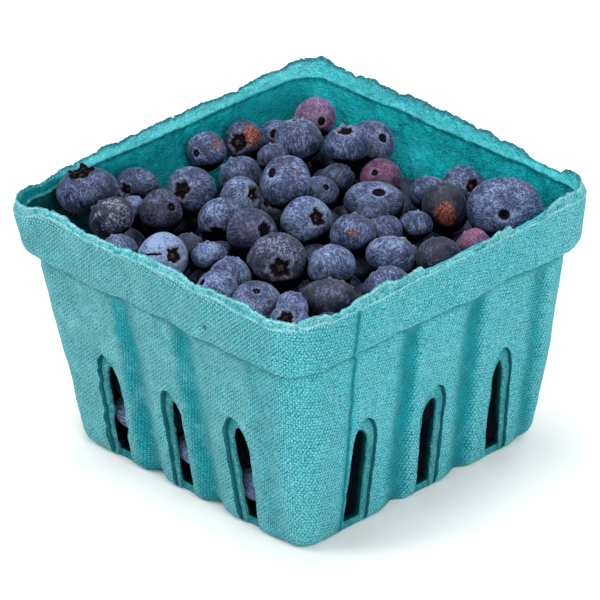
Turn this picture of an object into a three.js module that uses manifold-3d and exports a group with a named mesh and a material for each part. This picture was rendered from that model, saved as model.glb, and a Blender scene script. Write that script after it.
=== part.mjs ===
// A square moulded-pulp punnet with vent slots in its walls, heaped with blueberries.
// Millimetres, +Z up. The origin is the middle of the flat underside.
// Half sides are measured from the middle to a face, so a full side is twice as long.
import * as THREE from 'three';
import { mergeVertices } from 'three/addons/utils/BufferGeometryUtils.js';
import Module from 'manifold-3d';

const wasm = await Module();
wasm.setup();

// Rim: a thin lip above a crease, then a plain band that steps in to the wall
const rimHeight = 77;
const rimHalfSide = 57;
const rimCorner = 9.4;
const lipHeight = 2.7;
const lipSetBack = 0.5;
const lipThickness = 1.5;
const bandHeight = 17;
const bandTaper = 1.6;

// Wall: tapers down to a rounded foot
const wallTop = 58.8;
const wallTopHalfSide = 53;
const wallTopCorner = 11;
const footHeight = 2.2;
const footHalfSide = 45.4;
const footCorner = 7.5;
const footRounding = 1.4;
const pulpThickness = 2.4;
const floorThickness = 2.6;

// Upright flutes, half way between the slots, deepest at the foot
const slotPitch = 25.3;
const slotsPerFace = 3;
const fluteWidth = 13;
const fluteDepthAtFoot = 2.3;

// Vent slots: a pointed recess in the wall, with a narrower hole through its pad
const recessWidth = 8.6;
const recessTop = 35;
const recessDepth = 1.8;
const holeWidth = 4.6;
const holeTop = 30.5;
const padWidth = 10.4;
const padTop = 36;
const padProud = 1.2;

// Heap of berries
const heapClearance = 0.5;
const heapFloorGap = 0.3;
const heapShoulder = 60.5;
const berryPitch = 13.4;
const berryRadiusMin = 5.2;
const berryRadiusMax = 7.4;
const berryFlattening = 0.9;
const berryShuffle = 1.6;
const berryRise = [0.6, 0.85];
const slumpedRise = [0.1, 0.3];
const berryRimHalfSide = 52.3;
const heapSeed = 20;

// The biggest berries, and the one that the highest of them sits on
const placedBerries = [
  { x: -43, y: -38, z: 74.2, radius: 8.2 },
  { x: -42, y: -37, z: 65.5, radius: 6.8 },
  { x: 37.4, y: 38.6, z: 67.6, radius: 9.4 },
];

// Places by the walls where the heap has slumped and leaves the wall bare
const slumps = [
  { x: 2, y: 48, radius: 11 },
  { x: -48, y: -3, radius: 9 },
];

// Mesh fineness
const flutedFaceSteps = 24;
const plainFaceSteps = 3;
const cornerSteps = 4;
const berryColumns = 8;
const berryRows = 5;

const pulpColour = 0x6cbcb3;
const berryColour = 0x3f4a6b;

function mix(from, to, share) {
  return from + (to - from) * share;
}

// Outside of the wall at a height, as a half side and a corner radius
function wallSection(z) {
  const share = (z - footHeight) / (wallTop - footHeight);
  return {
    z,
    half: mix(footHalfSide, wallTopHalfSide, share),
    corner: mix(footCorner, wallTopCorner, share),
  };
}

function inset(section, distance) {
  return { z: section.z, half: section.half - distance, corner: section.corner - distance };
}

function rimSection(z, setBack) {
  return { z, half: rimHalfSide - setBack, corner: rimCorner - setBack };
}

// How far a flute draws the wall in, at a place along a face
function fluteDepth(along, z) {
  const fade = THREE.MathUtils.clamp(1 - z / wallTop, 0, 1);
  const fromCentre = Math.abs(Math.abs(along) - slotPitch / 2);
  if (fromCentre > fluteWidth / 2) return 0;
  const hollow = 0.5 + 0.5 * Math.cos((2 * Math.PI * fromCentre) / fluteWidth);
  return fluteDepthAtFoot * fade * hollow;
}

// A point on one of the four faces, from its place along the face and outwards
function onFace(face, along, out, z) {
  const turn = (face * Math.PI) / 2;
  return new THREE.Vector3(out, along, z).applyAxisAngle(new THREE.Vector3(0, 0, 1), turn);
}

// The rounded square outline of one section, anticlockwise from above
function outline({ z, half, corner }, fluted) {
  const straight = half - corner;
  const faceSteps = fluted ? flutedFaceSteps : plainFaceSteps;
  const points = [];
  for (let face = 0; face < 4; face += 1) {
    for (let step = 0; step < faceSteps; step += 1) {
      const along = straight * ((2 * step) / faceSteps - 1);
      const drawnIn = fluted ? fluteDepth(along, z) : 0;
      points.push(onFace(face, along, half - drawnIn, z));
    }
    for (let step = 0; step < cornerSteps; step += 1) {
      const turn = ((step / cornerSteps) * Math.PI) / 2;
      const along = straight + corner * Math.sin(turn);
      points.push(onFace(face, along, straight + corner * Math.cos(turn), z));
    }
  }
  return points;
}

// A closed skin over a run of sections, with a fan of faces over each end
function loft(sections, fluted) {
  const rings = sections.map((section) => outline(section, fluted));
  const count = rings[0].length;
  const last = rings.length - 1;
  const corners = rings.flat();
  const startCentre = corners.push(new THREE.Vector3(0, 0, sections[0].z)) - 1;
  const endCentre = corners.push(new THREE.Vector3(0, 0, sections[last].z)) - 1;
  const faces = [];
  for (let i = 0; i < count; i += 1) {
    const next = (i + 1) % count;
    faces.push(startCentre, next, i);
    faces.push(endCentre, last * count + i, last * count + next);
    for (let ring = 0; ring < last; ring += 1) {
      const here = ring * count;
      const above = here + count;
      faces.push(here + i, here + next, above + i);
      faces.push(here + next, above + next, above + i);
    }
  }
  const geometry = new THREE.BufferGeometry().setFromPoints(corners);
  geometry.setIndex(faces);
  return geometry;
}

function toSolid(geometry) {
  const bare = geometry.clone();
  bare.deleteAttribute('normal');
  bare.deleteAttribute('uv');
  const merged = mergeVertices(bare, 1e-4);
  return new wasm.Manifold(new wasm.Mesh({
    numProp: 3,
    vertProperties: new Float32Array(merged.attributes.position.array),
    triVerts: new Uint32Array(merged.index.array),
  }));
}

function toGeometry(solid) {
  const mesh = solid.getMesh();
  const geometry = new THREE.BufferGeometry();
  geometry.setAttribute('position', new THREE.BufferAttribute(mesh.vertProperties, 3));
  geometry.setIndex(new THREE.BufferAttribute(mesh.triVerts, 1));
  geometry.computeVertexNormals();
  return geometry;
}

// Bottom, outside, rim, inside and floor of the punnet as one run of sections
function punnetSections() {
  const bandFoot = rimHeight - bandHeight;
  const crease = rimHeight - lipHeight;
  const foot = wallSection(footHeight);
  const inside = (z) => inset(wallSection(z), pulpThickness);
  return [
    { ...inset(foot, footRounding), z: 0 },
    { ...inset(foot, footRounding * 0.3), z: footHeight * 0.35 },
    foot,
    wallSection(wallTop),
    rimSection(bandFoot, bandTaper + 1),
    rimSection(bandFoot + 0.9, bandTaper),
    rimSection(crease, 0),
    rimSection(crease + 0.3, lipSetBack),
    rimSection(rimHeight, lipSetBack * 0.8),
    rimSection(rimHeight, lipSetBack * 0.8 + lipThickness),
    rimSection(crease, pulpThickness + 0.2),
    rimSection(bandFoot + 6, pulpThickness + 1),
    inside(bandFoot - 0.5),
    inside(floorThickness + 2.2),
    inset(inside(floorThickness), 1.8),
  ];
}

// An upright opening with a pointed top, drawn in the plane of the wall
function archShape(width, top) {
  const half = width / 2;
  const below = -8;
  const spring = top - width * 0.85;
  const arch = new THREE.Shape();
  arch.moveTo(-half, below);
  arch.lineTo(half, below);
  arch.lineTo(half, spring);
  arch.quadraticCurveTo(half * 0.9, top - width * 0.3, 0, top);
  arch.quadraticCurveTo(-half * 0.9, top - width * 0.3, -half, spring);
  return arch;
}

// An arch made solid between two depths from the outside of the sloping wall.
// Its foot can be cut off level at a height.
function wallArch(face, along, shape, nearDepth, farDepth) {
  const geometry = new THREE.ExtrudeGeometry(shape, {
    depth: farDepth - nearDepth,
    bevelEnabled: false,
    curveSegments: 4,
  });
  const slope = Math.atan2(wallTopHalfSide - footHalfSide, wallTop - footHeight);
  const out = new THREE.Vector3(Math.cos(slope), 0, -Math.sin(slope));
  const up = new THREE.Vector3(Math.sin(slope), 0, Math.cos(slope));
  const place = new THREE.Matrix4().makeBasis(new THREE.Vector3(0, 1, 0), up, out);
  geometry.translate(0, 0, -farDepth);
  geometry.applyMatrix4(place);
  geometry.translate(wallSection(0).half, along, 0);
  geometry.rotateZ((face * Math.PI) / 2);
  return toSolid(geometry);
}

// A level slab that covers the whole punnet between two heights
function slab(low, high) {
  const side = 4 * rimHalfSide;
  const geometry = new THREE.BoxGeometry(side, side, high - low);
  geometry.translate(0, 0, (low + high) / 2);
  return toSolid(geometry);
}

function makePunnet() {
  let punnet = toSolid(loft(punnetSections(), true));
  const aboveFloor = slab(floorThickness, rimHeight);
  const middle = (slotsPerFace - 1) / 2;
  for (let face = 0; face < 4; face += 1) {
    for (let slot = 0; slot < slotsPerFace; slot += 1) {
      const along = (slot - middle) * slotPitch;
      const padBack = pulpThickness + padProud;
      const pad = wallArch(face, along, archShape(padWidth, padTop), pulpThickness - 0.6, padBack);
      const recess = wallArch(face, along, archShape(recessWidth, recessTop), -6, recessDepth);
      const hole = wallArch(face, along, archShape(holeWidth, holeTop), -6, padBack + 3);
      punnet = punnet.add(pad.intersect(aboveFloor));
      punnet = punnet.subtract(recess).subtract(hole.intersect(aboveFloor));
    }
  }
  return toGeometry(punnet);
}

// Repeatable random numbers between 0 and 1
function makeRandom(seed) {
  let state = seed;
  return () => {
    state = (state + 0x6d2b79f5) | 0;
    let value = Math.imul(state ^ (state >>> 15), 1 | state);
    value = (value + Math.imul(value ^ (value >>> 7), 61 | value)) ^ value;
    return ((value ^ (value >>> 14)) >>> 0) / 4294967296;
  };
}

// Distance from a point to the inside of the rim; negative is inside
function beyondRim(x, y) {
  const corner = rimCorner - pulpThickness;
  const straight = berryRimHalfSide - corner;
  const dx = Math.abs(x) - straight;
  const dy = Math.abs(y) - straight;
  const outside = Math.hypot(Math.max(dx, 0), Math.max(dy, 0));
  return outside + Math.min(Math.max(dx, dy), 0) - corner;
}

function inSlump(x, y, radius) {
  return slumps.some((slump) => Math.hypot(x - slump.x, y - slump.y) < slump.radius + radius);
}

function crowds(berry, others) {
  return others.some((other) => {
    const apart = Math.hypot(berry.x - other.x, berry.y - other.y);
    return apart < 0.75 * (berry.radius + other.radius);
  });
}

// The top layer: staggered rows of berries, shuffled a little, each sunk in the heap
function topBerries() {
  const random = makeRandom(heapSeed);
  const berries = [...placedBerries];
  const rowPitch = berryPitch * 0.87;
  const rows = Math.floor(berryRimHalfSide / rowPitch);
  const columns = Math.floor(berryRimHalfSide / berryPitch);
  for (let row = -rows; row <= rows; row += 1) {
    for (let column = -columns; column <= columns; column += 1) {
      const radius = mix(berryRadiusMin, berryRadiusMax, random());
      const stagger = row % 2 === 0 ? 0 : berryPitch / 2;
      const x = column * berryPitch + stagger + berryShuffle * (random() - 0.5);
      const y = row * rowPitch + berryShuffle * (random() - 0.5);
      const rise = mix(...(inSlump(x, y, radius) ? slumpedRise : berryRise), random());
      const berry = { x, y, z: heapShoulder + radius * rise, radius };
      const inside = beyondRim(x, y) < -radius;
      if (inside && !crowds(berry, placedBerries)) berries.push(berry);
    }
  }
  return berries;
}

function berryGeometry(berry, tilt) {
  const geometry = new THREE.SphereGeometry(berry.radius, berryColumns, berryRows);
  geometry.rotateX(Math.PI / 2);
  geometry.scale(1, 1, berryFlattening);
  geometry.rotateX(tilt);
  geometry.rotateZ(5 * tilt);
  geometry.translate(berry.x, berry.y, berry.z);
  return geometry;
}

// A plain heap that keeps clear of the flutes and the pads, with the berries standing out of it
function makeHeap() {
  const side = (z, bulge) => inset(wallSection(z), pulpThickness + heapClearance + bulge);
  const low = floorThickness + heapFloorGap;
  const sections = [
    { ...side(low, fluteDepthAtFoot + 2.2), z: low },
    side(low + 2.4, fluteDepthAtFoot),
    side(padTop + 1, padProud),
    side(wallTop, 0),
    { ...side(wallTop, 0), z: heapShoulder },
  ];
  let heap = toSolid(loft(sections, false));
  topBerries().forEach((berry, index) => {
    const tilt = 0.6 * Math.sin(index * 2.4);
    heap = heap.add(toSolid(berryGeometry(berry, tilt)));
  });
  return toGeometry(heap);
}

function makePart() {
  const pulp = new THREE.MeshStandardMaterial({ color: pulpColour, roughness: 0.95, metalness: 0 });
  const skin = new THREE.MeshStandardMaterial({ color: berryColour, roughness: 0.6, metalness: 0 });
  const punnet = new THREE.Mesh(makePunnet(), pulp);
  punnet.name = 'punnet';
  const berries = new THREE.Mesh(makeHeap(), skin);
  berries.name = 'berries';
  const group = new THREE.Group();
  group.add(punnet, berries);
  return group;
}

export default makePart();
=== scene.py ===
import bpy
import math
import numpy as np
from mathutils import Matrix, Vector, noise


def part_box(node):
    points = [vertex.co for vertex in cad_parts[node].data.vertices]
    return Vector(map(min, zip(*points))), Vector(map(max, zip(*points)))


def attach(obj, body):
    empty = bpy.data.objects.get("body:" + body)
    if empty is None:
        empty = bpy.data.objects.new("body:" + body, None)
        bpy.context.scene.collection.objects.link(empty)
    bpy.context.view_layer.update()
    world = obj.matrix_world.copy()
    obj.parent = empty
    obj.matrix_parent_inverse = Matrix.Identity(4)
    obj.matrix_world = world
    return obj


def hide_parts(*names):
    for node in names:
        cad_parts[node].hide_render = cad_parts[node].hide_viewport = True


# A pint punnet of moulded pulp, heaped with blueberries. Meshes are worked out in millimetres.
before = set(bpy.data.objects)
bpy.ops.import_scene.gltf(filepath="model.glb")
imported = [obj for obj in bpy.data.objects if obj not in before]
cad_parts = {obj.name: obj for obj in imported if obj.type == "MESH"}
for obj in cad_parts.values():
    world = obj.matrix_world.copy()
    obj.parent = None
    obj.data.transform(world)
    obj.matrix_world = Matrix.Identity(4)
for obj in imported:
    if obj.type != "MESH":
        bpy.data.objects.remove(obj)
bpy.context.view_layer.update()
mm = 0.001


class Wire:  # a node's output that takes part in sums
    def __init__(self, finish, socket):
        self.finish = finish
        self.socket = socket

    def __add__(self, other):
        return self.finish.maths("ADD", self, other)

    def __radd__(self, other):
        return self.finish.maths("ADD", other, self)

    def __sub__(self, other):
        return self.finish.maths("SUBTRACT", self, other)

    def __rsub__(self, other):
        return self.finish.maths("SUBTRACT", other, self)

    def __mul__(self, other):
        return self.finish.maths("MULTIPLY", self, other)

    def __rmul__(self, other):
        return self.finish.maths("MULTIPLY", other, self)


class Finish:  # one material and the nodes that make it
    def __init__(self, name):
        self.material = bpy.data.materials.new(name)
        self.material.use_nodes = True
        self.tree = self.material.node_tree
        self.shader = self.tree.nodes["Principled BSDF"]

    def node(self, kind, settings=None, sockets=None, output=0):
        made = self.tree.nodes.new(kind)
        for name, value in (settings or {}).items():
            if name == "stops":
                self.fillRamp(made.color_ramp, value)
            else:
                setattr(made, name, value)
        for key, value in (sockets or {}).items():
            self.feed(made.inputs[key], value)
        return Wire(self, made.outputs[output])

    def fillRamp(self, ramp, stops):
        while len(ramp.elements) < len(stops):
            ramp.elements.new(0.5)
        for element, (position, colour) in zip(ramp.elements, stops):
            element.position = position
            element.color = colour

    def feed(self, socket, value):
        if isinstance(value, Wire):
            self.tree.links.new(value.socket, socket)
        else:
            socket.default_value = value

    def surface(self, **sockets):  # names with _ for a space, such as Base_Color
        for name, value in sockets.items():
            self.feed(self.shader.inputs[name.replace("_", " ")], value)

    def place(self):  # where a point is on the object, in millimetres
        spot = self.node("ShaderNodeTexCoord", output="Object")
        return self.node("ShaderNodeVectorMath", {"operation": "SCALE"}, {0: spot, "Scale": 1 / mm})

    def parts(self, vector):  # its X, Y and Z
        split = self.node("ShaderNodeSeparateXYZ", {}, {"Vector": vector})
        return [Wire(self, output) for output in split.socket.node.outputs]

    def painted(self, name, output="Fac"):  # a value kept on the mesh, by name
        return self.node("ShaderNodeAttribute", {"attribute_name": name}, output=output)

    def grain(self, spot, size, detail=2.0, roughness=0.5, distortion=0.0):  # noise about 0 to 1
        sockets = {"Vector": spot, "Scale": 1 / size, "Detail": detail, "Roughness": roughness,
                   "Distortion": distortion}
        return self.node("ShaderNodeTexNoise", {}, sockets, output="Fac")

    def patches(self, spot, *grain):  # the noise pulled out to fill 0 to 1
        return self.ease(self.grain(spot, *grain), 0.36, 0.64)

    def ease(self, value, low, high, start=0.0, end=1.0):  # a soft step between two levels
        sockets = {"Value": value, "From Min": low, "From Max": high, "To Min": start, "To Max": end}
        return self.node("ShaderNodeMapRange", {"interpolation_type": "SMOOTHSTEP"}, sockets)

    def blend(self, share, first, second):
        settings = {"data_type": "RGBA", "blend_type": "MIX"}
        return self.node("ShaderNodeMix", settings, {0: share, 6: first, 7: second}, output=2)

    def coats(self, tone, colours, *layers):  # one over the other, each a share and the name of a colour
        for share, name in layers:
            tone = self.blend(share, tone, colours[name])
        return tone

    def maths(self, operation, first, second=0.0):
        return self.node("ShaderNodeMath", {"operation": operation}, {0: first, 1: second})

    def least(self, first, second):
        return self.maths("MINIMUM", first, second)

    def most(self, first, second):
        return self.maths("MAXIMUM", first, second)

    def far(self, spot, centre):  # distance from a fixed point
        return self.node("ShaderNodeVectorMath", {"operation": "DISTANCE"}, {0: spot, 1: centre},
                         output="Value")

    def bump(self, height, depth):  # depth in millimetres, for a height of 0 to 1
        return self.node("ShaderNodeBump", {}, {"Height": height, "Distance": depth * mm, "Strength": 1.0})


view = {
    "aim": (-1.98, 0.47, 41.26),
    "azimuth": 47.277,
    "elevation": 28.352,
    "distance": 1300.0,
    "roll": -1.65,
    "lens": 289.29,
    "sensor": 36.0,
    "imageSide": 600,
    "seesTo": 20,
}


def viewAxes():  # right, up and back, with the roll in
    azimuth, elevation, roll = (math.radians(view[name]) for name in ("azimuth", "elevation", "roll"))
    back = Vector((math.sin(azimuth) * math.cos(elevation), -math.cos(azimuth) * math.cos(elevation),
                   math.sin(elevation)))
    level = Vector((math.cos(azimuth), math.sin(azimuth), 0))
    rise = back.cross(level)
    right = math.cos(roll) * level + math.sin(roll) * rise
    up = math.cos(roll) * rise - math.sin(roll) * level
    return right, up, back


def addObject(name, data):
    made = bpy.data.objects.new(name, data)
    bpy.context.scene.collection.objects.link(made)
    return made


def makeMesh(name, vertices, faces):  # from points in millimetres
    mesh = bpy.data.meshes.new(name)
    mesh.from_pydata((np.array(vertices) * mm).tolist(), [], faces)
    return mesh


def eyePoint():
    return Vector(view["aim"]) + view["distance"] * viewAxes()[2]


def makeCamera():
    camera = addObject("camera", bpy.data.cameras.new("camera"))
    camera.data.sensor_width = view["sensor"]
    camera.data.lens = view["lens"]
    camera.data.clip_end = view["seesTo"]
    turn = Matrix(viewAxes()).transposed()
    camera.matrix_world = Matrix.Translation(eyePoint() * mm) @ turn.to_4x4()
    bpy.context.scene.camera = camera


studio = {
    "skyStrength": 0.27,
    "lamps": [  # name, where and size in metres, power
        ("key", (-0.85, -1.15, 1.25), 0.9, 17.4),
        ("fill", (1.30, -0.55, 1.00), 1.2, 22.2),
        ("back", (-0.2, 1.3, 1.1), 1.2, 7.8),
        ("top", (-0.15, 0.05, 1.50), 0.8, 12.6),
    ],
    "lampsAim": (0, 0, 0.04),
    "floorHalf": 3000.0,
    "floorTones": ((0.95, 0.95, 0.95, 1), (0.97, 0.97, 0.97, 1)),
}


def makeStudio():
    world = bpy.data.worlds.new("tent")
    world.use_nodes = True
    world.node_tree.nodes["Background"].inputs["Strength"].default_value = studio["skyStrength"]
    world.node_tree.nodes["Background"].inputs["Color"].default_value = (1, 1, 1, 1)
    bpy.context.scene.world = world
    for name, where, size, power in studio["lamps"]:
        lamp = addObject(name, bpy.data.lights.new(name, "AREA"))
        lamp.data.shape = "DISK"
        lamp.data.size = size
        lamp.data.energy = power
        lamp.location = where
        lamp.rotation_euler = (Vector(where) - Vector(studio["lampsAim"])).to_track_quat("Z", "Y").to_euler()
    half = studio["floorHalf"]
    corners = [(-half, -half, 0), (half, -half, 0), (half, half, 0), (-half, half, 0)]
    floor = addObject("floor", makeMesh("floor", corners, [(0, 1, 2, 3)]))
    finish = Finish("pale_floor")
    tone = finish.blend(finish.grain(finish.place(), 60.0), *studio["floorTones"])
    finish.surface(Base_Color=tone, Roughness=0.9)
    floor.data.materials.append(finish.material)
    bpy.context.scene.view_settings.view_transform = "Standard"


pulp = {
    "base": (0.062, 0.430, 0.490, 1),
    "pale": (0.140, 0.515, 0.570, 1),
    "deep": (0.002, 0.318, 0.372, 1),
    "pit": (0.001, 0.120, 0.150, 1),
    # painted shade, for the creases and under the band's step
    "crease": (0.004, 0.200, 0.240, 1),
    "lint": (0.275, 0.625, 0.655, 1),
    # pale torn fibres, and a painted highlight on edges
    "fringe": (0.430, 0.690, 0.715, 1),
    "inner": (0.001, 0.380, 0.430, 1),
    "innerDeep": (0.001, 0.140, 0.170, 1),
    "innerPale": (0.025, 0.560, 0.630, 1),
    # painted highlight on the ridge inside the rim
    "innerRidge": (0.150, 0.700, 0.750, 1),
    "innerRim": (0.090, 0.640, 0.715, 1),  # the strip above the ridge inside
    "smudge": (0.012, 0.030, 0.035, 1),
    # dark teal of the slot's way in, a painted shade
    "bore": (0.002, 0.100, 0.115, 1),
    "ring": (0.006, 0.270, 0.315, 1),
    "weaveDepth": 0.36,
    "fibre": (0.5, 2.0, 0.6, 0.3),  # size in millimetres, detail, roughness and distortion of the noise
    "blotch": (9.0, 4.0, 0.6),
    "grit": (0.34, 1.0),
    "lean": (6.0, 4.0, 0.65),
    "torn": (2.2, 3.0, 0.6, 0.6),
    "felt": (2.2, 4.0, 0.6, 0.3),
    "lines": (0.19, 0.21),  # how strong the print's lines are, on the walls and on the band
    "crossLines": 0.24,
    "knots": 0.52,
    "weaveFade": (0.75, 1.2),  # how strong the print is where it is faint and where it is clear
    "pits": (0.41, 0.18),  # levels of the relief over which the dark pits and the pale tops come on
    "tops": (0.53, 0.76),
    "bandFoot": (57.0, 61.0),  # heights over which the walls go over into the band
    "seams": ((1, -31.2), (-1, 35.0)),  # on the face towards +X or -X, how far along Y
    "seamHalfWidth": (0.95, 2.4),  # of the dark core and of the dent round it
    "seamStep": 2.9,  # how far towards -Y it moves on the band
    "richSide": (-45.0, 35.0),  # along X + Y, from the greyer faces to the richer ones
    "nearCorner": (76.0, 96.0),  # along X - Y, richer at the near corner
    "rightEnd": (84.0, 104.0),  # along X + Y, paler at the right corner
    "marks": [  # where, how far it reaches, tone
        ((22.8, -56.2, 64.7), 1.1, "smudge"),
        ((56.0, 26.0, 50.0), 1.2, "fringe"),
        ((55.0, 19.5, 42.0), 1.0, "fringe"),
    ],
    # painted pools of light inside: where, and how far each reaches
    "innerLitPatches": [((-52.5, -1.4, 63.2), 6.0), ((-9.0, 52.5, 64.3), 8.0), ((-20.0, 52.0, 60.0), 5.0),
                     ((-50.0, 50.0, 68.0), 26.0)],
    "innerShadow": (0.000, 0.008, 0.010, 1),
    "innerDusk": (60.0, 51.0),  # heights between which the inside falls into shadow
    "leftShade": (-62.0, -100.0),  # along X + Y, painted shade darker towards the left corner inside
    "leftDusk": ((-62.0, -92.0), (74.0, 67.0)),  # along X + Y and up, in shadow down in that corner
    "farDusk": ((-49.0, -52.0), (74.0, 66.0)),  # along X and up, painted shade below the strip
    "strip": (73.2, 74.6),  # heights over which it begins
    "nearStrip": (73.6, 74.8),
}


def pulpBasics(finish, *grains):  # the place, the fibres and what else the finish is grained with
    spot = finish.place()
    finish.surface(Roughness=0.92)
    finish.shader.inputs["Specular IOR Level"].default_value = 0.2
    return spot, *(finish.patches(spot, *pulp[name]) for name in ("fibre", *grains))


def clothWeave(finish, layer, lines):  # height of the wire cloth's print, about 0 to 1
    phases = finish.node("ShaderNodeUVMap", {"uv_map": layer}, output="UV")
    first, second = (finish.maths("SINE", phase * math.tau) for phase in finish.parts(phases)[:2])
    return first * lines + second * pulp["crossLines"] + first * second * pulp["knots"] + 0.5


def seamLine(finish, spot):  # the joins of the wire cloth: core and dent
    x, y, z = finish.parts(spot)
    stray = (finish.grain(spot, 9.0) - 0.5) * 1.6 + (finish.grain(spot, 1.5) - 0.5) * 1.2
    stray = stray + finish.ease(z, 56.0, 60.0) * pulp["seamStep"]
    core, dent = 0.0, 0.0
    for side, along in pulp["seams"]:
        off = finish.maths("ABSOLUTE", y + stray - along)
        here = finish.ease(x * side, 43.0, 44.5)
        core = here * finish.ease(off, pulp["seamHalfWidth"][0], 0.0) + core
        dent = here * finish.ease(off, pulp["seamHalfWidth"][1], 0.0) + dent
    return finish.least(core, 1.0), dent


def rubbedAndShaded(finish, spot, tone, fibre, pale, deep, share):  # pale on worn edges and as painted highlight, deep as painted shade in the creases
    wear = finish.painted("wear")
    patchy = finish.patches(spot, 6.0, 2.0) * 0.6 + 0.4
    rub = finish.ease(wear + (fibre - 0.5) * 0.25, 0.35, 0.95) * patchy * share
    sunk = finish.ease(wear + (fibre - 0.5) * 0.3, -0.20, -0.95) * 0.85
    return finish.coats(tone, pulp, (rub, pale), (sunk, deep))


def makeWovenPulp():  # outside, pressed against wire cloth
    finish = Finish("pulp_woven")
    spot, fibre, blotch, grit, lean = pulpBasics(finish, "blotch", "grit", "lean")
    x, y, z = finish.parts(spot)
    richSide = finish.ease(x + y, *pulp["richSide"])
    lines = finish.ease(z, *pulp["bandFoot"], *pulp["lines"])
    turn, hollow = finish.painted("cornerTurn"), finish.painted("hollow")
    weave = clothWeave(finish, "threads", lines) * (1 - turn)
    weave = weave + clothWeave(finish, "threadsNext", lines) * turn
    fade = finish.ease(finish.grain(spot, 5.0, 3.0), 0.36, 0.56, *pulp["weaveFade"])
    fade = fade * (1 - richSide * (1 - hollow) * 0.70)
    relief = (weave - 0.5) * fade + 0.5 + (fibre - 0.5) * 0.26 + (grit - 0.5) * 0.36
    pits, tops = finish.ease(relief, *pulp["pits"]), finish.ease(relief, *pulp["tops"])
    # richer colour and painted shade to one side of each flute
    rich = hollow * (0.60 + lean * 0.55) + lean * (0.22 + richSide * 0.14) + richSide * 0.12
    core, dent = seamLine(finish, spot)
    tone = finish.blend((blotch * 0.75 + 0.25) * (1 - richSide * 0.80), pulp["base"], pulp["pale"])
    tone = finish.coats(
        tone, pulp, (finish.least(rich, 1.0), "deep"), (finish.ease(z, *pulp["bandFoot"]) * 0.14, "deep"),
        (finish.ease(x - y, *pulp["nearCorner"]) * 0.52, "deep"),
        (finish.ease(x + y, *pulp["rightEnd"]) * 0.40, "pale"),
        (tops * (1 - hollow * 0.95) * (0.92 - richSide * 0.14), "lint"),
        (pits * (0.80 + richSide * 0.16), "pit"),
        (finish.least(dent * 0.7, 1.0), "deep"), (core * 0.85, "pit"))
    tone = rubbedAndShaded(finish, spot, tone, fibre, "fringe", "crease", 0.75)
    for centre, reach, name in pulp["marks"]:
        near = finish.ease(finish.far(spot, centre) + (fibre - 0.5) * 0.8, reach, reach * 0.3)
        tone = finish.coats(tone, pulp, (near * 0.8, name))
    finish.surface(Base_Color=tone, Normal=finish.bump(relief - dent * 1.2 - core * 0.5, pulp["weaveDepth"]))
    return finish.material


def makeLipPulp():  # torn edge, unwoven
    finish = Finish("pulp_lip")
    spot, fibre, blotch, grit, torn = pulpBasics(finish, "blotch", "grit", "torn")
    tone = finish.blend(blotch * 0.5 + 0.5, pulp["base"], pulp["pale"])
    tone = finish.coats(tone, pulp, (finish.ease(torn, 0.52, 0.80) * 0.9, "deep"),
                        (finish.ease(grit + fibre, 0.9, 1.6) * 0.55, "lint"),
                        (finish.ease(grit + fibre, 0.9, 0.25) * 0.55, "pit"))
    tone = rubbedAndShaded(finish, spot, tone, fibre, "fringe", "innerDeep", 0.9)
    finish.surface(Base_Color=tone, Normal=finish.bump(torn * 0.5 + fibre * 0.5, 0.45))
    return finish.material


def makeInnerPulp():  # inside, felted and deeper in colour
    finish = Finish("pulp_inner")
    spot, fibre, blotch, felt = pulpBasics(finish, "blotch", "felt")
    x, y, z = finish.parts(spot)
    tone = finish.blend(felt * 0.75 + 0.25, pulp["innerDeep"], pulp["inner"])
    tone = finish.coats(tone, pulp, (blotch * 0.30, "innerPale"), (fibre * 0.28, "innerPale"))
    # painted pools of light on the inner walls
    for centre, reach in pulp["innerLitPatches"]:
        near = finish.ease(finish.far(spot, centre) + (felt - 0.5) * 5.0, reach, reach * 0.2)
        tone = finish.coats(tone, pulp, (near * 0.6, "innerPale"))
    far, farDown = finish.ease(x, *pulp["farDusk"][0]), finish.ease(z, *pulp["farDusk"][1])
    left, leftDown = finish.ease(x + y, *pulp["leftDusk"][0]), finish.ease(z, *pulp["leftDusk"][1])
    strip = finish.ease(z, *pulp["strip"])
    near = finish.ease(z, *pulp["nearStrip"]) * finish.ease(x - y, 10.0, 50.0)
    # painted shade towards the left corner, down in the heap and below the strip
    tone = finish.coats(
        tone, pulp, (finish.ease(x + y, *pulp["leftShade"]) * 0.75, "innerDeep"),
        (finish.ease(z + (felt - 0.5) * 4.0, *pulp["innerDusk"]), "innerShadow"),
        (far * farDown * 0.62, "innerDeep"), (left * leftDown * 0.92, "innerShadow"),
        (strip * (0.70 + felt * 0.3), "innerRim"), (strip * far * 0.6, "innerRidge"),
        (near, "base"), ((1 - fibre) * 0.30, "innerDeep"))
    tone = rubbedAndShaded(finish, spot, tone, felt, "innerRidge", "innerDeep", 0.8)
    finish.surface(Base_Color=tone, Normal=finish.bump(felt * 0.6 + fibre * 0.4, 0.6))
    finish.shader.inputs["Specular IOR Level"].default_value = 0.05
    return finish.material


def makeRingPulp():  # ring round each vent slot
    finish = Finish("pulp_ring")
    spot, fibre, blotch, grit = pulpBasics(finish, "blotch", "grit")
    tone = finish.blend(blotch * 0.7, pulp["ring"], pulp["base"])
    tone = finish.coats(tone, pulp, (finish.ease(grit + fibre, 1.1, 1.8) * 0.3, "lint"),
                        (finish.ease(grit + fibre, 1.0, 0.2) * 0.7, "innerDeep"))
    tone = rubbedAndShaded(finish, spot, tone, fibre, "lint", "pit", 0.6)
    finish.surface(Base_Color=tone, Normal=finish.bump(fibre, 0.3))
    return finish.material


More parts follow.
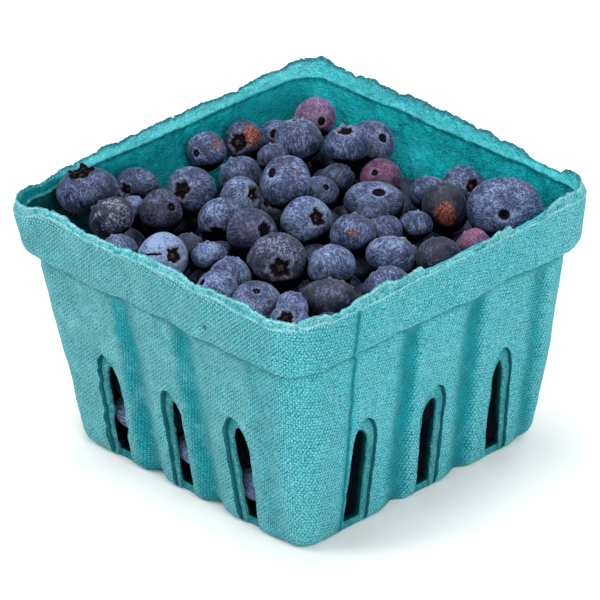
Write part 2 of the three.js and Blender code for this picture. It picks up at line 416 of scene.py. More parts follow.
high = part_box("punnet")[1] / mm
punnet = {
    "rimHalf": high.x,
    "rimHeight": high.z,
    "faceSteps": 120,
    "cornerSteps": 20,
    "lipFineness": 3,  # columns of the torn lip for each one of the wall
    "wallTop": 58.8,
    "wallTopHalf": 53.0,
    "footHalf": 45.4,
    "footHeight": 2.2,
    "floorTop": 2.6,
    "fluteDepth": 3.0,
    "fluteTopShare": 0.42,  # how much of the flutes' depth is left under the band
    "slotPitch": 25.3,
    "padHalfWidth": 5.6,
    "padTop": 36.0,
    "padProud": (3.0, 1.4, 1.4, 0.5),  # how thick the pulp is round the slots of each face
    "sharpAngle": 42,
}


def wallHalfAt(height):  # half the width across the walls, for a number or a wire
    slope = (punnet["wallTopHalf"] - punnet["footHalf"]) / (punnet["wallTop"] - punnet["footHeight"])
    return punnet["footHalf"] + (height - punnet["footHeight"]) * slope


def makeBorePulp():  # the way in through each vent slot, painted shade deepening with depth
    finish = Finish("pulp_bore")
    spot, fibre = pulpBasics(finish)
    x, y, z = finish.parts(spot)
    depth = wallHalfAt(z) - finish.most(finish.maths("ABSOLUTE", x), finish.maths("ABSOLUTE", y))
    tone = finish.blend(fibre * 0.4, pulp["bore"], pulp["innerDeep"])
    tone = finish.coats(tone, pulp, (finish.ease(depth, 1.2, 4.2), "innerShadow"))
    finish.surface(Base_Color=tone, Normal=finish.bump(fibre, 0.2))
    finish.shader.inputs["Specular IOR Level"].default_value = 0.05
    return finish.material


# Half side, height, corner radius, row step and wear with painted light and shade, from the middle of the
# underside round to the floor.
# That value is 1 on a pale edge, worn and with a painted highlight, and -1 for painted shade down in a
# crease or under the band's step.
outside = [
    (0.6, 0.5, 0.2, 9.0, 0.0),
    (36.0, 0.5, 3.0, 2.5, 0.0),
    (41.2, 0.0, 4.8, 0.8, 0.0),
    (43.4, 0.45, 6.2, 0.7, 0.0),
    (44.8, 1.9, 7.2, 0.8, 0.1),
    (45.6, 4.2, 7.6, 1.1, 0.0),
    (52.6, 55.6, 11.0, 0.7, -0.1),
    (52.85, 57.6, 11.0, 0.35, -0.6),
    (52.95, 58.9, 11.0, 0.3, -1.0),
    (53.2, 59.4, 11.0, 0.3, -1.0),
    (54.9, 59.75, 10.6, 0.3, -0.2),
    (55.45, 60.2, 10.4, 0.3, 0.55),
    (55.65, 60.9, 10.2, 0.5, 0.3),
    (55.75, 61.6, 10.1, 1.1, 0.0),
    (56.9, 73.1, 9.5, 0.4, 0.0),
    (57.0, 73.9, 9.4, 0.2, 0.75),
]
lip = [
    (56.95, 74.2, 9.4, 0.2, 0.75),
    (56.6, 74.4, 9.2, 0.25, -0.35),
    (56.5, 75.2, 9.1, 0.4, 0.0),
    (56.45, 76.1, 9.1, 0.25, 0.2),
    (56.42, 76.55, 9.0, 0.2, 1.0),
    (56.3, 76.85, 9.0, 0.2, 0.3),
    (56.1, 77.0, 9.0, 0.2, -0.6),
    (55.85, 76.85, 8.8, 0.25, -1.0),
]
inside = [
    (55.6, 76.3, 8.5, 0.4, -0.5),
    (54.9, 74.9, 8.0, 0.3, 0.1),
    (54.3, 74.0, 7.6, 0.25, 0.75),
    (54.1, 73.5, 7.5, 0.25, 0.7),
    (54.25, 73.1, 7.6, 0.25, -0.4),
    (54.4, 72.6, 7.7, 0.4, -0.55),
    (54.1, 71.6, 7.6, 1.0, -0.1),
    (53.2, 66.0, 7.8, 1.4, 0.0),
    (51.0, 60.0, 8.2, 2.0, 0.0),
    (43.6, 5.0, 5.2, 0.9, 0.0),
    (42.0, 2.9, 4.6, 1.2, 0.0),
    (40.0, 2.6, 4.0, 9.0, 0.0),
    (0.6, 2.6, 0.2, 9.0, 0.0),
]
# Where the lip is torn lower or stands higher: face, from and to along it, and how much higher.
# Faces 0 to 3 look towards +X, +Y, -X and -Y.
rimTears = [
    (0, -60.0, -47.5, 0.4), (0, -44.0, -35.0, -1.2), (0, -28.5, -22.0, 0.8), (0, -9.5, 10.5, -2.1),
    (0, 10.5, 16.5, -1.1), (0, 22.8, 36.0, -2.5),
    (1, -60.0, -46.0, 0.9), (1, -51.0, -37.5, 1.1), (1, -32.0, -28.5, 0.8), (1, -36.0, 16.5, 0.9),
    (1, -17.0, -8.0, 0.9), (1, 29.0, 43.5, -1.7),
    (2, -46.0, -22.0, -0.8), (2, -30.0, -1.5, -0.6), (2, 5.0, 48.0, -0.4), (2, 48.0, 60.0, 0.5),
    (3, -30.0, -8.0, -0.8), (3, 1.5, 7.0, 0.4), (3, 16.5, 24.5, -0.7), (3, 41.0, 46.0, -0.7),
    (3, 48.5, 60.0, -0.9),
]
leftCornerSag = {"alongX": (-38.0, -48.0), "alongY": (-26.0, -44.0), "depth": 2.6, "heights": (62.0, 74.0)}
# Corners that stand further in or out: towards +X or -X, +Y or -Y, how far out, and the heights at which
# it begins, is full, begins to fade and ends.
cornerShifts = [(1, 1, -1.0, (61.0, 75.0, 90.0, 91.0)), (-1, -1, 0.7, (57.0, 62.0, 62.5, 75.0)),
                (1, 1, 0.8, (2.0, 10.0, 52.0, 60.0)), (-1, -1, 0.8, (18.0, 34.0, 54.0, 61.0))]


def lumps(points, size, seed):  # soft random field, lumps about `size` across
    shift = Vector((seed * 17.3, seed * 5.1, seed * 9.7))
    flat = np.asarray(points, float).reshape(-1, 3) / size
    values = [noise.noise(Vector(point) + shift) for point in flat]
    return np.array(values).reshape(np.shape(points)[:-1])


def softStep(value, start, end):
    share = np.clip((value - start) / (end - start), 0, 1)
    return share * share * (3 - 2 * share)


def sectionRows():  # rows of half side, height, corner, wear with painted light and shade, and zone
    rows = []
    zones = [0] * len(outside) + [1] * len(lip) + [2] * len(inside)
    stations = [np.array(station) for station in outside + lip + inside]
    for here, following, zone in zip(stations, stations[1:], zones):
        reach = math.hypot(*(following - here)[:2])
        steps = max(1, round(reach / here[3]))
        for step in range(steps):
            point = here + (following - here) * step / steps
            rows.append([*point[:3], point[4], zone])
    rows.append([*stations[-1][:3], 0, 2])
    rows = np.array(rows)
    eased = rows.copy()
    eased[1:-1, :3] = rows[1:-1, :3] * 0.8 + (rows[:-2, :3] + rows[2:, :3]) * 0.1
    return eased


def makeColumns(fineness):  # side, spread along the face, turn round the corner
    columns = []
    faceSteps, cornerSteps = punnet["faceSteps"] * fineness, punnet["cornerSteps"] * fineness
    for side in range(4):
        columns += [(side, 2 * step / faceSteps - 1, 0) for step in range(faceSteps)]
        columns += [(side, 1, step / cornerSteps) for step in range(cornerSteps)]
    return np.array(columns, float)


flutes = {  # middle, half width to the left and right, depth
    0: [(-8.9, 7.4, 3.6, 0.7), (14.9, 7.4, 3.8, 0.7), (38.6, 5.6, 3.6, 0.4)],
    1: [(-12.65, 5.0, 6.0, 0.9), (12.65, 5.0, 6.0, 1.0)],
    2: [(-12.65, 5.5, 5.5, 1.0), (12.65, 5.0, 6.0, 0.9)],
    3: [(-13.8, 3.8, 7.0, 1.05), (9.8, 4.4, 7.0, 1.0), (36.5, 4.0, 5.0, 0.25)],
}


def flutePlace(side, along):  # 1 along the bottom of a flute
    share = np.zeros(np.broadcast_shapes(side.shape, along.shape))
    for face, places in flutes.items():
        for middle, left, right, depth in places:
            reach = np.clip((along - middle) / np.where(along < middle, left, right), -1, 1)
            share += np.where(side == face, np.cos(reach * math.pi / 2) ** 2 * depth, 0)
    return share


def fluteShare(side, along, height):  # deeper towards the foot, and none on the band
    fade = np.clip(1 - height / punnet["wallTop"], 0, 1)
    fade = (punnet["fluteTopShare"] + (1 - punnet["fluteTopShare"]) * fade) * softStep(height, 58.5, 54.0)
    return flutePlace(side, along) * fade


def layered(points, layers):  # the sum of lumps of several sizes
    return sum(lumps(points, size, seed) * height for size, seed, height in layers)


unevenness = {  # size, seed and height of each layer of lumps, in millimetres
    "wave": ((26.0, 1, 0.8), (8.0, 2, 0.3), (3.0, 3, 0.1)),
    "felt": ((2.6, 4, 0.25), (7.0, 5, 0.5)),
    "tear": ((8.0, 6, 0.45), (3.5, 7, 0.45)),
    "fray": ((1.5, 8, 0.24), (0.5, 9, 0.28)),
    "sway": ((18.0, 11, 0.8), (5.0, 12, 0.4), (1.2, 13, 0.15)),
    "loose": ((1.6, 14, 0.20), (0.5, 15, 0.07)),
    "sag": ((15.0, 17, 1.1), (5.0, 18, 0.4)),
    "ridge": ((12.0, 23, 0.7), (3.0, 24, 0.3)),
    "drift": ((14.0, 21, 1.0), (4.0, 22, 0.4)),
    "lowestTear": -2.5,
    "creaseHeights": (72.5, 74.2, 74.6, 76.6),  # where it starts, is full, begins to fade and ends
    "ridgeHeights": (72.3, 73.4, 74.2, 75.2),
    "sagHeights": (53.0, 58.0, 61.0, 67.0),
}


def between(height, heights):  # 1 in the middle of a strip of heights
    start, full, fading, end = heights
    return softStep(height, start, full) * softStep(height, end, fading)


def wallPush(points, half, height, inner, side, along):  # how far out each point of the pulp is pushed
    push = -fluteShare(side[None, :], along, height) * punnet["fluteDepth"]
    push = push + layered(points, unevenness["wave"]) * softStep(half, 20, 42) * softStep(height, 0.5, 6)
    push = push + layered(points, unevenness["felt"]) * inner * softStep(height, 4, 8)
    for middle in (-punnet["slotPitch"], 0, punnet["slotPitch"]):
        beside = softStep(np.abs(along - middle), punnet["padHalfWidth"], punnet["padHalfWidth"] - 2.2)
        pad = beside * softStep(height, punnet["padTop"] + 3, punnet["padTop"] - 2)
        push = push - pad * inner * np.take(punnet["padProud"], side.astype(int)) * softStep(half, 38, 43)
    for signX, signY, out, heights in cornerShifts:
        inCorner = softStep(np.minimum(points[..., 0] * signX, points[..., 1] * signY), 32, 42)
        push = push + inCorner * np.interp(height, heights, (0, 1, 1, 0)) * out
    return push


def tearAlong(rim):  # how much higher the torn lip stands
    back = softStep(rim[:, 1] - rim[:, 0], -20, 20)  # the two far walls are torn more roughly
    tear = layered(rim, unevenness["tear"]) + layered(rim, unevenness["fray"]) * (0.45 + 0.55 * back)
    tear -= softStep(lumps(rim, 3.0, 10), 0.30, 0.36) * 0.55
    facesAway = (rim[:, 0], rim[:, 1], -rim[:, 0], -rim[:, 1])
    for face, start, end, rise in rimTears:
        place = rim[:, 1 - face % 2]
        here = softStep(place, start - 1.3, start + 1.3) * softStep(place, end + 1.3, end - 1.3)
        tear += here * softStep(facesAway[face], 47.0, 55.0) * rise
    return np.maximum(tear, unevenness["lowestTear"])


def traySkin(rows, columns):  # the pulp's points in millimetres, row by row
    side, spread, turn = columns.T
    facing, angle = np.radians(90 * side), np.radians(90 * (side + turn))
    outward = np.stack([np.cos(angle), np.sin(angle)], 1)
    anchor = np.stack([np.cos(facing) - spread * np.sin(facing),
                       np.sin(facing) + spread * np.cos(facing)], 1)
    half, height, corner, zone = rows[:, [0, 1, 2, 4]].T[..., None]
    flat = (half - corner)[..., None] * anchor + corner[..., None] * outward
    along = spread * (half - corner) + corner * turn * math.pi / 2
    points = np.dstack([flat, np.broadcast_to(height, flat.shape[:2])])
    push = wallPush(points, half, height, (zone == 2) & (height < 72), side, along)
    points[..., :2] += push[..., None] * outward

    rim = (punnet["rimHalf"] - 10) * anchor + 10 * outward  # one line of noise for all the lip's rows
    rim = np.column_stack([rim, np.zeros(len(rim))])
    tear = tearAlong(rim)
    crease = softStep(lumps(rim, 20.0, 19), -0.15, 0.35) * softStep(tear, -1.6, 0.0) * 1.1
    crease += lumps(rim, 5.0, 20) * 0.15
    sunk = softStep(rim[:, 0], *leftCornerSag["alongX"]) * softStep(rim[:, 1], *leftCornerSag["alongY"])
    points[..., 2] += tear * np.clip((height - 74.1) / 2.7, 0, 1)
    points[..., 2] += crease * between(height, unevenness["creaseHeights"]) * (zone < 2)
    ridge, sag = layered(rim, unevenness["ridge"]), layered(rim, unevenness["sag"])
    points[..., 2] += ridge * between(height, unevenness["ridgeHeights"]) * (zone == 2)
    points[..., 2] += sag * between(height, unevenness["sagHeights"]) * (zone == 0)
    points[..., 2] -= sunk * leftCornerSag["depth"] * softStep(height, *leftCornerSag["heights"])
    loose = softStep(height, 72.5, 75.5) * layered(points, unevenness["loose"])
    sway = layered(rim, unevenness["sway"]) * softStep(height, 75.2, 76.9)
    points[..., :2] += (sway + loose)[..., None] * outward
    return points


def layCorners(mesh, name, values):  # a value for each vertex, kept on the face corners
    loops = np.zeros(len(mesh.loops), int)
    mesh.loops.foreach_get("vertex_index", loops)
    layValues(mesh, name, "FLOAT", "CORNER", np.asarray(values)[loops])


def shadeAt(points, facing, others, sizes):  # how much the berries shut out the light
    gaps = others[None] - points[:, None]
    apart = np.linalg.norm(gaps, axis=2)
    toward = np.maximum((gaps / apart[..., None] * facing[:, None]).sum(2), 0)
    return (toward * np.minimum(sizes[None] / apart, 1) ** 2).sum(1)


def layValues(mesh, name, kind, domain, values):  # values kept on the mesh, by name
    layer = mesh.attributes.new(name, kind, domain)
    layer.data.foreach_set("value" if kind == "FLOAT" else "vector", values.ravel().astype(np.float32))


def makeTrayMesh():
    rows = sectionRows()
    plain, fine = makeColumns(1), makeColumns(punnet["lipFineness"])
    first, last = np.nonzero(rows[:, 4] == 1)[0][[0, -1]]
    blocks = [traySkin(rows[:first], plain), traySkin(rows[first:last + 1], fine),
              traySkin(rows[last + 1:], plain)]
    print("pulp", len(rows), "rows,", len(plain), "and", len(fine), "columns")
    rings, start = [], 0
    for block in blocks:
        for ring in block:
            rings.append(np.arange(start, start + len(ring)))
            start += len(ring)
    middles = [[0, 0, blocks[0][0, :, 2].mean()], [0, 0, blocks[2][-1, :, 2].mean()]]
    vertices = np.vstack([block.reshape(-1, 3) for block in blocks] + [middles])
    strips = [(joinRings(ring, above), row[4]) for ring, above, row in zip(rings, rings[1:], rows)]
    for ring, middle, zone in ((rings[0][::-1], start, 0), (rings[-1], start + 1, 2)):
        strips.append(([(middle, here, beside) for here, beside in zip(ring, np.roll(ring, -1))], zone))
    mesh = makeMesh("punnet", vertices, [tuple(map(int, face)) for made, zone in strips for face in made])
    mesh.polygons.foreach_set("material_index", [int(zone) for made, zone in strips for face in made])
    layThreads(mesh, rows, plain, blocks[0])
    layCorners(mesh, "wear", np.append(np.repeat(rows[:, 3], [len(ring) for ring in rings]), [0, 0]))
    return mesh


def joinRings(ring, above):  # quads, or fans where one ring is finer
    if len(ring) == len(above):
        return list(zip(ring, np.roll(ring, -1), np.roll(above, -1), above))
    flip = len(ring) > len(above)
    coarse, dense = (above, ring) if flip else (ring, above)
    ratio = len(dense) // len(coarse)
    made = []
    for index, here in enumerate(coarse):
        beside = coarse[(index + 1) % len(coarse)]
        run = [dense[(index * ratio + step) % len(dense)] for step in range(ratio + 1)]
        middle = (ratio + 1) // 2
        made += [(here, run[step + 1], run[step]) for step in range(middle)]
        made.append((here, beside, run[middle]))
        made += [(beside, run[step + 1], run[step]) for step in range(middle, ratio)]
    return [face[::-1] for face in made] if flip else made


cloth = {  # cycles a millimetre, along the face and up it
    "straight": ((0.70, -0.80), (-0.83, -0.61)),
    "turned": ((-1.15, -0.62), (-0.20, -1.02)),
    "warp": (0.45, 0.25, 0.25, 0.22),  # how far the threads stray, for each face
    "shadeShift": (0.4, 1.0, 1.0, 1.8),  # how far left of a flute the painted shade and richer colour sit
    "shade": (2.6, 1.1, 1.1, 1.35),  # how strong the painted shade and richer colour get, for each face, up to 1
    "shadeEnd": (58.8, 56.5),  # heights over which it comes on
}


def layThreads(mesh, rows, columns, points):  # each loop's place in the cloth, in thread cycles
    spread, turn = columns.T[1:]
    perSide = punnet["faceSteps"] + punnet["cornerSteps"]
    rowCount, columnCount = points.shape[:2]
    rows = rows[:rowCount]
    travel = np.hypot(*np.diff(rows[:, :2], axis=0).T)
    climb = np.concatenate([[0], np.cumsum(travel)])[:, None]
    half, height, corner = rows[:, :3].T[..., None]
    drift = layered(points, unevenness["drift"])
    count, woven = len(mesh.loops), (rowCount - 1) * columnCount * 4
    stores = {"threads": np.zeros((count, 2)), "threadsNext": np.zeros((count, 2)),
              "cornerTurn": np.zeros((count, 1)), "hollow": np.zeros((count, 1))}
    for face in range(4):
        first, following = face * perSide, (face + 1) % 4
        spreads, turns = (np.append(part[first:first + perSide], 1) for part in (spread, turn))
        here = spreads * (half - corner) + corner * turns * math.pi / 2
        ahead = -(half - corner) - corner * (1 - turns) * math.pi / 2
        slack = np.take(drift, range(first, first + perSide + 1), axis=1, mode="wrap")
        warp = cloth["warp"][face] + (cloth["warp"][following] - cloth["warp"][face]) * turns[None, :, None]
        # painted shade and richer colour to one side of each flute, kept as hollow
        shade = flutePlace(np.full(perSide + 1, face), here + cloth["shadeShift"][face])
        shade = 1 - np.maximum(1 - shade * cloth["shade"][face] / 2, 0) ** 2
        shade = shade * softStep(height, *cloth["shadeEnd"])
        values = {"cornerTurn": np.broadcast_to(turns, here.shape)[..., None], "hollow": shade[..., None]}
        for name, along, cut in (("threads", here, face), ("threadsNext", ahead, following)):
            ways = cloth["turned"] if cut % 2 == 0 else cloth["straight"]
            phases = np.stack([way[0] * along + way[1] * climb for way in ways], 2)
            values[name] = phases + slack[..., None] * warp
        for name, value in values.items():
            quad = np.stack([value[:-1, :-1], value[:-1, 1:], value[1:, 1:], value[1:, :-1]], 2)
            store = stores[name][:woven].reshape(rowCount - 1, columnCount, 4, -1)
            store[:, first:first + perSide] = quad
    for name, store in stores.items():
        if name.startswith("threads"):
            mesh.uv_layers.new(name=name).uv.foreach_set("vector", store.ravel().astype(np.float32))
        else:
            layValues(mesh, name, "FLOAT", "CORNER", store)


# Slots of each face, along it: foot left and right, shoulder left and right, peak, its height, edge's tear
slots = {
    0: [(-31.0, -21.3, -29.5, -20.0, -25.6, 36.0, 0.12), (-3.8, 4.4, -3.8, 5.4, 1.6, 34.7, 0.15),
        (22.6, 31.2, 22.4, 30.4, 26.8, 36.0, 0.15)],
    1: [(-29.6, -21.2, -29.4, -20.8, -25.0, 35.4, 0.15), (-4.2, 4.0, -4.0, 4.4, 0.4, 35.0, 0.15),
        (21.2, 29.8, 21.0, 29.6, 25.4, 35.6, 0.18)],
    2: [(-29.8, -21.4, -29.6, -21.0, -25.4, 35.2, 0.15), (-4.4, 4.0, -4.2, 4.2, -0.2, 35.6, 0.2),
        (21.0, 29.4, 20.8, 29.4, 25.0, 35.0, 0.12)],
    3: [(-30.6, -21.1, -29.7, -20.4, -25.6, 35.1, 0.45), (-4.8, 3.5, -4.4, 3.9, -1.2, 34.1, 0.12),
        (21.1, 28.5, 20.0, 29.9, 24.8, 36.1, 0.2)],
    "shoulder": 27.0,  # height where the sides start to lean in
    "rings": [(0.0, -4.0, 3), (0.0, 1.15, 4), (0.2, 0.95, 3), (0.55, 0.8, 3), (1.1, 0.8, 3), (1.35, 1.1, 3),
              (1.5, 1.6, 4), (1.55, 9.0, 4)],  # how far in from the edge, how deep, and the finish
    "throughFrom": 1.5,  # rings this far in go through, above the floor
    "ringWearLightShade": (0.0, -1.0, -0.4, 0.0, 0.5, 0.8, 0.0, 0.0),  # 1 where pale from wear and painted highlight, -1 for painted shade at the foot of the step
    "ringWidth": (1.3, 1.1, 1.1, 1.2),  # how wide the ring is on each face
    "ringDepth": (1.35, 1.2, 1.2, 1.7),  # how deep its step is
    "stepEnds": 3.0,  # rings less deep than this belong to the step
    "peakFall": 2.5,  # how far the peak and the shoulder come down for each millimetre in
    "shoulderFall": 0.6,
    "archRound": 0.9,
    "outsideFoot": -6.0,  # where the outer rings begin, under the punnet
    "sideSteps": 22,
    "archSteps": 9,
}


def slotOutline(spec, inset, footAt):  # points from the left foot over the peak to the right
    footLeft, footRight, left, right, peak, top, tear = spec
    top = top - inset * slots["peakFall"]
    shoulder = slots["shoulder"] - inset * slots["shoulderFall"]

    def oneSide(foot, along, inward):  # up one side and along the arch, to just before the peak
        points = []
        for share in np.arange(slots["sideSteps"]) / slots["sideSteps"]:
            points.append((foot + (along - foot) * share + inward * (0.7 + 0.3 * share),
                           footAt + (shoulder - footAt) * share))
        for share in np.arange(slots["archSteps"]) / slots["archSteps"]:
            across = (1 - math.cos(share * math.pi / 2)) ** slots["archRound"]
            points.append((along + inward + (peak - along - inward) * across,
                           shoulder + (top - shoulder) * math.sin(share * math.pi / 2)))
        return points

    leftSide, rightSide = oneSide(footLeft, left, inset), oneSide(footRight, right, -inset)
    outline = np.array(leftSide + [(peak, top)] + rightSide[::-1])
    tall = np.column_stack([outline, np.full(len(outline), peak * 3.7)])  # other lumps for each slot
    outline[:, 0] += lumps(tall, 3.2, 14) * tear * 2.2 + lumps(tall, 1.2, 15) * tear
    return outline


def slotCutter(face, spec):  # one closed cutter, a loft of outlines going in
    vertices = []
    cos, sin = math.cos(math.radians(90 * face)), math.sin(math.radians(90 * face))
    for inset, depth, _ in slots["rings"]:
        footAt = slots["outsideFoot"] if inset < slots["throughFrom"] else punnet["floorTop"]
        outline = slotOutline(spec, inset * slots["ringWidth"][face], footAt)
        if 0 < depth < slots["stepEnds"]:
            depth *= slots["ringDepth"][face]
        lumpy = lumps(np.column_stack([outline, np.full(len(outline), face * 50.0)]), 5.0, 16) * 0.25
        away, along = wallHalfAt(outline[:, 1]) - depth + lumpy, outline[:, 0]
        vertices.append(np.column_stack([away * cos - along * sin, away * sin + along * cos, outline[:, 1]]))
    count = len(vertices[0])
    faces = [tuple(range(count))[::-1]]
    for ring in range(len(vertices) - 1):
        for point in range(count):
            here, beside = ring * count + point, ring * count + (point + 1) % count
            faces.append((here, beside, beside + count, here + count))
    faces.append(tuple((len(vertices) - 1) * count + point for point in range(count)))
    zones = [zone for _, _, zone in slots["rings"]]
    return np.vstack(vertices), faces, [zones[0], *np.repeat(zones[:-1], count).tolist(), zones[-1]]


def makeCutters(finishes):
    vertices, faces, zones = [], [], []
    for face in range(4):
        for spec in slots[face]:
            points, polygons, parts = slotCutter(face, spec)
            start = sum(len(block) for block in vertices)
            vertices.append(points)
            faces += [tuple(start + corner for corner in polygon) for polygon in polygons]
            zones += parts
    mesh = makeMesh("cutters", np.vstack(vertices), faces)
    for finish in finishes:
        mesh.materials.append(finish)
    mesh.polygons.foreach_set("material_index", zones)
    perRing = [len(points) // len(slots["rings"]) for points in vertices]
    layCorners(mesh, "wear", np.concatenate([np.repeat(slots["ringWearLightShade"], count) for count in perRing]))
    return addObject("cutters", mesh)


def bake(piece):  # apply the modifiers for good
    graph = bpy.context.evaluated_depsgraph_get()
    mesh = bpy.data.meshes.new_from_object(piece.evaluated_get(graph), depsgraph=graph)
    piece.modifiers.clear()
    piece.data = mesh


def makePunnet():
    finishes = [makeWovenPulp(), makeLipPulp(), makeInnerPulp(), makeRingPulp(), makeBorePulp()]
    tray = addObject("pulp_tray", makeTrayMesh())
    for finish in finishes:
        tray.data.materials.append(finish)
    cutters = makeCutters(finishes)
    cut = tray.modifiers.new("slots", "BOOLEAN")
    cut.operation = "DIFFERENCE"
    cut.solver = "MANIFOLD"
    cut.object = cutters
    bake(tray)
    bpy.data.objects.remove(cutters)
    tray.data.polygons.foreach_set("use_smooth", [True] * len(tray.data.polygons))
    tray.data.set_sharp_from_angle(angle=math.radians(punnet["sharpAngle"]))
    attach(tray, "root")
    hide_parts("punnet")
    print("punnet", len(tray.data.polygons), "faces")


heap = {
    "level": 66.0,  # height of the middles of the top berries
    "ceiling": 56.5,  # the buried ones stay under this where the heap shows
    "edgeLevel": 64.5,  # the row tucked in behind the near walls
    "pitch": 12.3,
    "layers": (8.0, 17.5, 27.0, 36.5, 46.0, 55.5),
    "radii": (5.2, 7.2),
    "corner": 8.0,  # radius of the corners inside
    "heightsTried": (50.0, 84.0, 0.25),  # for the berries on top, from, to and step
    "sliding": 260,  # rounds in which they slide clear of each other
    "slide": 0.12,  # how much of an overlap one slides out of in a round
    "wallSqueeze": 0.96,
    "stray": 1.5,
    "rowPitch": 0.88,  # for a pitch of 1 along the row
    "sinking": 0.05,  # how far the buried ones sink in a round of settling
    "deepUnder": 45.0,  # berries under this height get painted shade, near black
    "closeness": 0.95,  # how near two middles come, for touching at 1
    "wallGap": 0.35,
    "settling": 70,  # rounds
    "fine": (42, 56),  # steps from pole to pole and round it, on top and buried
    "plain": (16, 22),
    "coreGap": 14.0,  # from the walls to the core that fills the middle
    "coreTop": 50.0,
    "core": (25, 48),
}


# Berries against the near left wall that show through its slots, at a depth along Y
slotBerries = [((137, 408), 6.0, -37.5), ((201, 446), 6.2, -37.0), ((264, 480), 6.6, -36.0)]


def berry(pixel, radius, **looks):
    usual = {"calyx": None, "scar": None, "kind": "dusty", "lift": 0.0}
    return {"pixel": pixel, "radius": radius, **usual, **looks}


# The berries on top: image point of the middle, radius, and image point of the calyx or the stem scar.
# A scab has its image point, how far it reaches and how strong it is.
topBerries = [
    berry((87, 191), 8.3, calyx=(80, 170), bloom=0.40, lift=8, wide=(1.0, 0.84), char=1.0,
          crown=0.85, lobes=1.6),
    berry((137, 187), 6.1, calyx=(123, 191), bloom=0.46, wide=(1.0, 0.86)),
    berry((112, 217), 6.4, bloom=0.29, kind="dark", silver=1.0, wide=(1.0, 0.90)),
    berry((134, 209), 4.0, bloom=0.70, lift=-3),
    berry((161, 212), 5.9, scar=(174, 207), bloom=0.34, kind="dark", wide=(1.0, 1.05)),
    berry((191, 193), 7.1, calyx=(179, 190), bloom=0.50, lift=1),
    berry((206, 151), 5.5, scar=(195, 154), bloom=0.52, scab=((219, 143), 1.6, 0.9)),
    berry((244, 141), 5.9, calyx=(236, 143), bloom=0.30, rust=0.25, crown=1.2, scab=((253, 136), 3.2, 1.0)),
    berry((240, 176), 6.0, bloom=0.50, wide=(1.0, 0.95)),
    berry((241, 199), 6.0, calyx=(257, 194), bloom=0.66),
    berry((222, 221), 6.6, calyx=(216, 238), bloom=0.60),
    berry((252, 233), 7.2, calyx=(270, 230), bloom=0.36, blush=0.15, wide=(1.0, 0.94)),
    berry((286, 183), 7.3, scar=(270, 172), bloom=0.56, wide=(0.96, 1.06), lift=6,
          scab=((297, 173), 1.2, 0.35)),
    berry((277, 140), 5.7, scar=(273, 133), bloom=0.50, lift=-6),
    berry((273, 158), 4.4, bloom=0.48, lift=-7),
    berry((298, 141), 6.9, calyx=(293, 115), bloom=0.52, blush=0.06, lift=2, crown=0.8),
    berry((163, 259), 7.1, calyx=(177, 255), bloom=0.96, split=1.0),
    berry((190, 248), 4.4, bloom=0.36, blush=0.2, lift=-3),
    berry((209, 256), 4.9, bloom=0.68, wide=(1.0, 0.84)),
    berry((230, 278), 5.9, bloom=0.62),
    berry((216, 290), 6.1, scar=(200, 281), bloom=0.62, wide=(1.0, 0.92)),
    berry((257, 305), 6.8, scar=(257, 289), bloom=0.55, blush=0.1, stalk=0.6),
    berry((277, 263), 8.0, calyx=(281, 270), bloom=0.41, kind="dark", silver=0.35, crown=1.1, lift=2,
          scab=((274, 277), 0.9, 0.8)),
    berry((289, 323), 5.4, calyx=(285, 317), bloom=0.60, crown=1.2),
    berry((292, 308), 4.4, bloom=0.66, lift=-3),
    berry((119, 252), 5.0, bloom=0.58),
    berry((315, 118), 5.8, scar=(323, 123), bloom=0.60, blush=0.25, kind="blushed"),
    berry((347, 145), 6.2, calyx=(345, 126), bloom=0.54, crown=1.1, lift=2),
    berry((371, 144), 6.8, scar=(384, 138), bloom=0.56, blush=0.15, lift=-4),
    berry((380, 180), 5.9, scar=(373, 172), bloom=0.24, blush=0.30, kind="blushed"),
    berry((374, 202), 8.2, scar=(380, 191), bloom=0.60, wide=(1.02, 0.72)),
    berry((321, 194), 5.1, scar=(327, 186), bloom=0.54, lift=-1),
    berry((306, 222), 7.0, calyx=(320, 217), bloom=0.72),
    berry((353, 236), 6.3, bloom=0.50, scab=((353, 234), 1.6, 0.5)),
    berry((385, 233), 4.9, bloom=0.52, lift=-1),
    berry((331, 268), 6.4, bloom=0.66, wide=(1.0, 1.06)),
    berry((392, 257), 7.1, bloom=0.63, wide=(1.02, 0.84)),
    berry((439, 259), 6.3, bloom=0.24, kind="dark"),
    berry((474, 246), 4.7, bloom=0.64, blush=0.8, kind="blushed"),
    berry((415, 226), 4.7, bloom=0.56),
    berry((445, 209), 6.6, bloom=0.20, kind="dark", wide=(0.94, 1.16), scab=((443, 217), 3.2, 1.0)),
    berry((505, 210), 10.0, scar=(503, 216), bloom=0.56, stalk=0.85, lift=1, wide=(1.02, 0.90),
          scab=((527, 186), 1.4, 0.4)),
    berry((463, 187), 5.9, calyx=(475, 187), bloom=0.50),
    berry((428, 193), 5.1, bloom=0.50, lift=-1),
    berry((388, 289), 6.6, bloom=0.52),
    berry((330, 301), 7.7, bloom=0.30, kind="dark", silver=0.1, wide=(1.0, 0.82)),
    berry((338, 181), 5.0, bloom=0.25, lift=-4),
    berry((372, 218), 4.8, bloom=0.40, lift=-6),
]


def pixelRay(pixel):  # the eye and the direction through an image point
    right, up, back = viewAxes()
    focal = view["lens"] / view["sensor"] * view["imageSide"]
    centre = view["imageSide"] / 2
    return eyePoint(), right * ((pixel[0] - centre) / focal) - up * ((pixel[1] - centre) / focal) - back


def pixelAtHeight(pixel, height):
    eye, way = pixelRay(pixel)
    return eye + way * ((height - eye.z) / way.z)


def topSpots(heights):  # the middles of the top berries at these heights
    return np.array([pixelAtHeight(one["pixel"], height) for one, height in zip(topBerries, heights)])


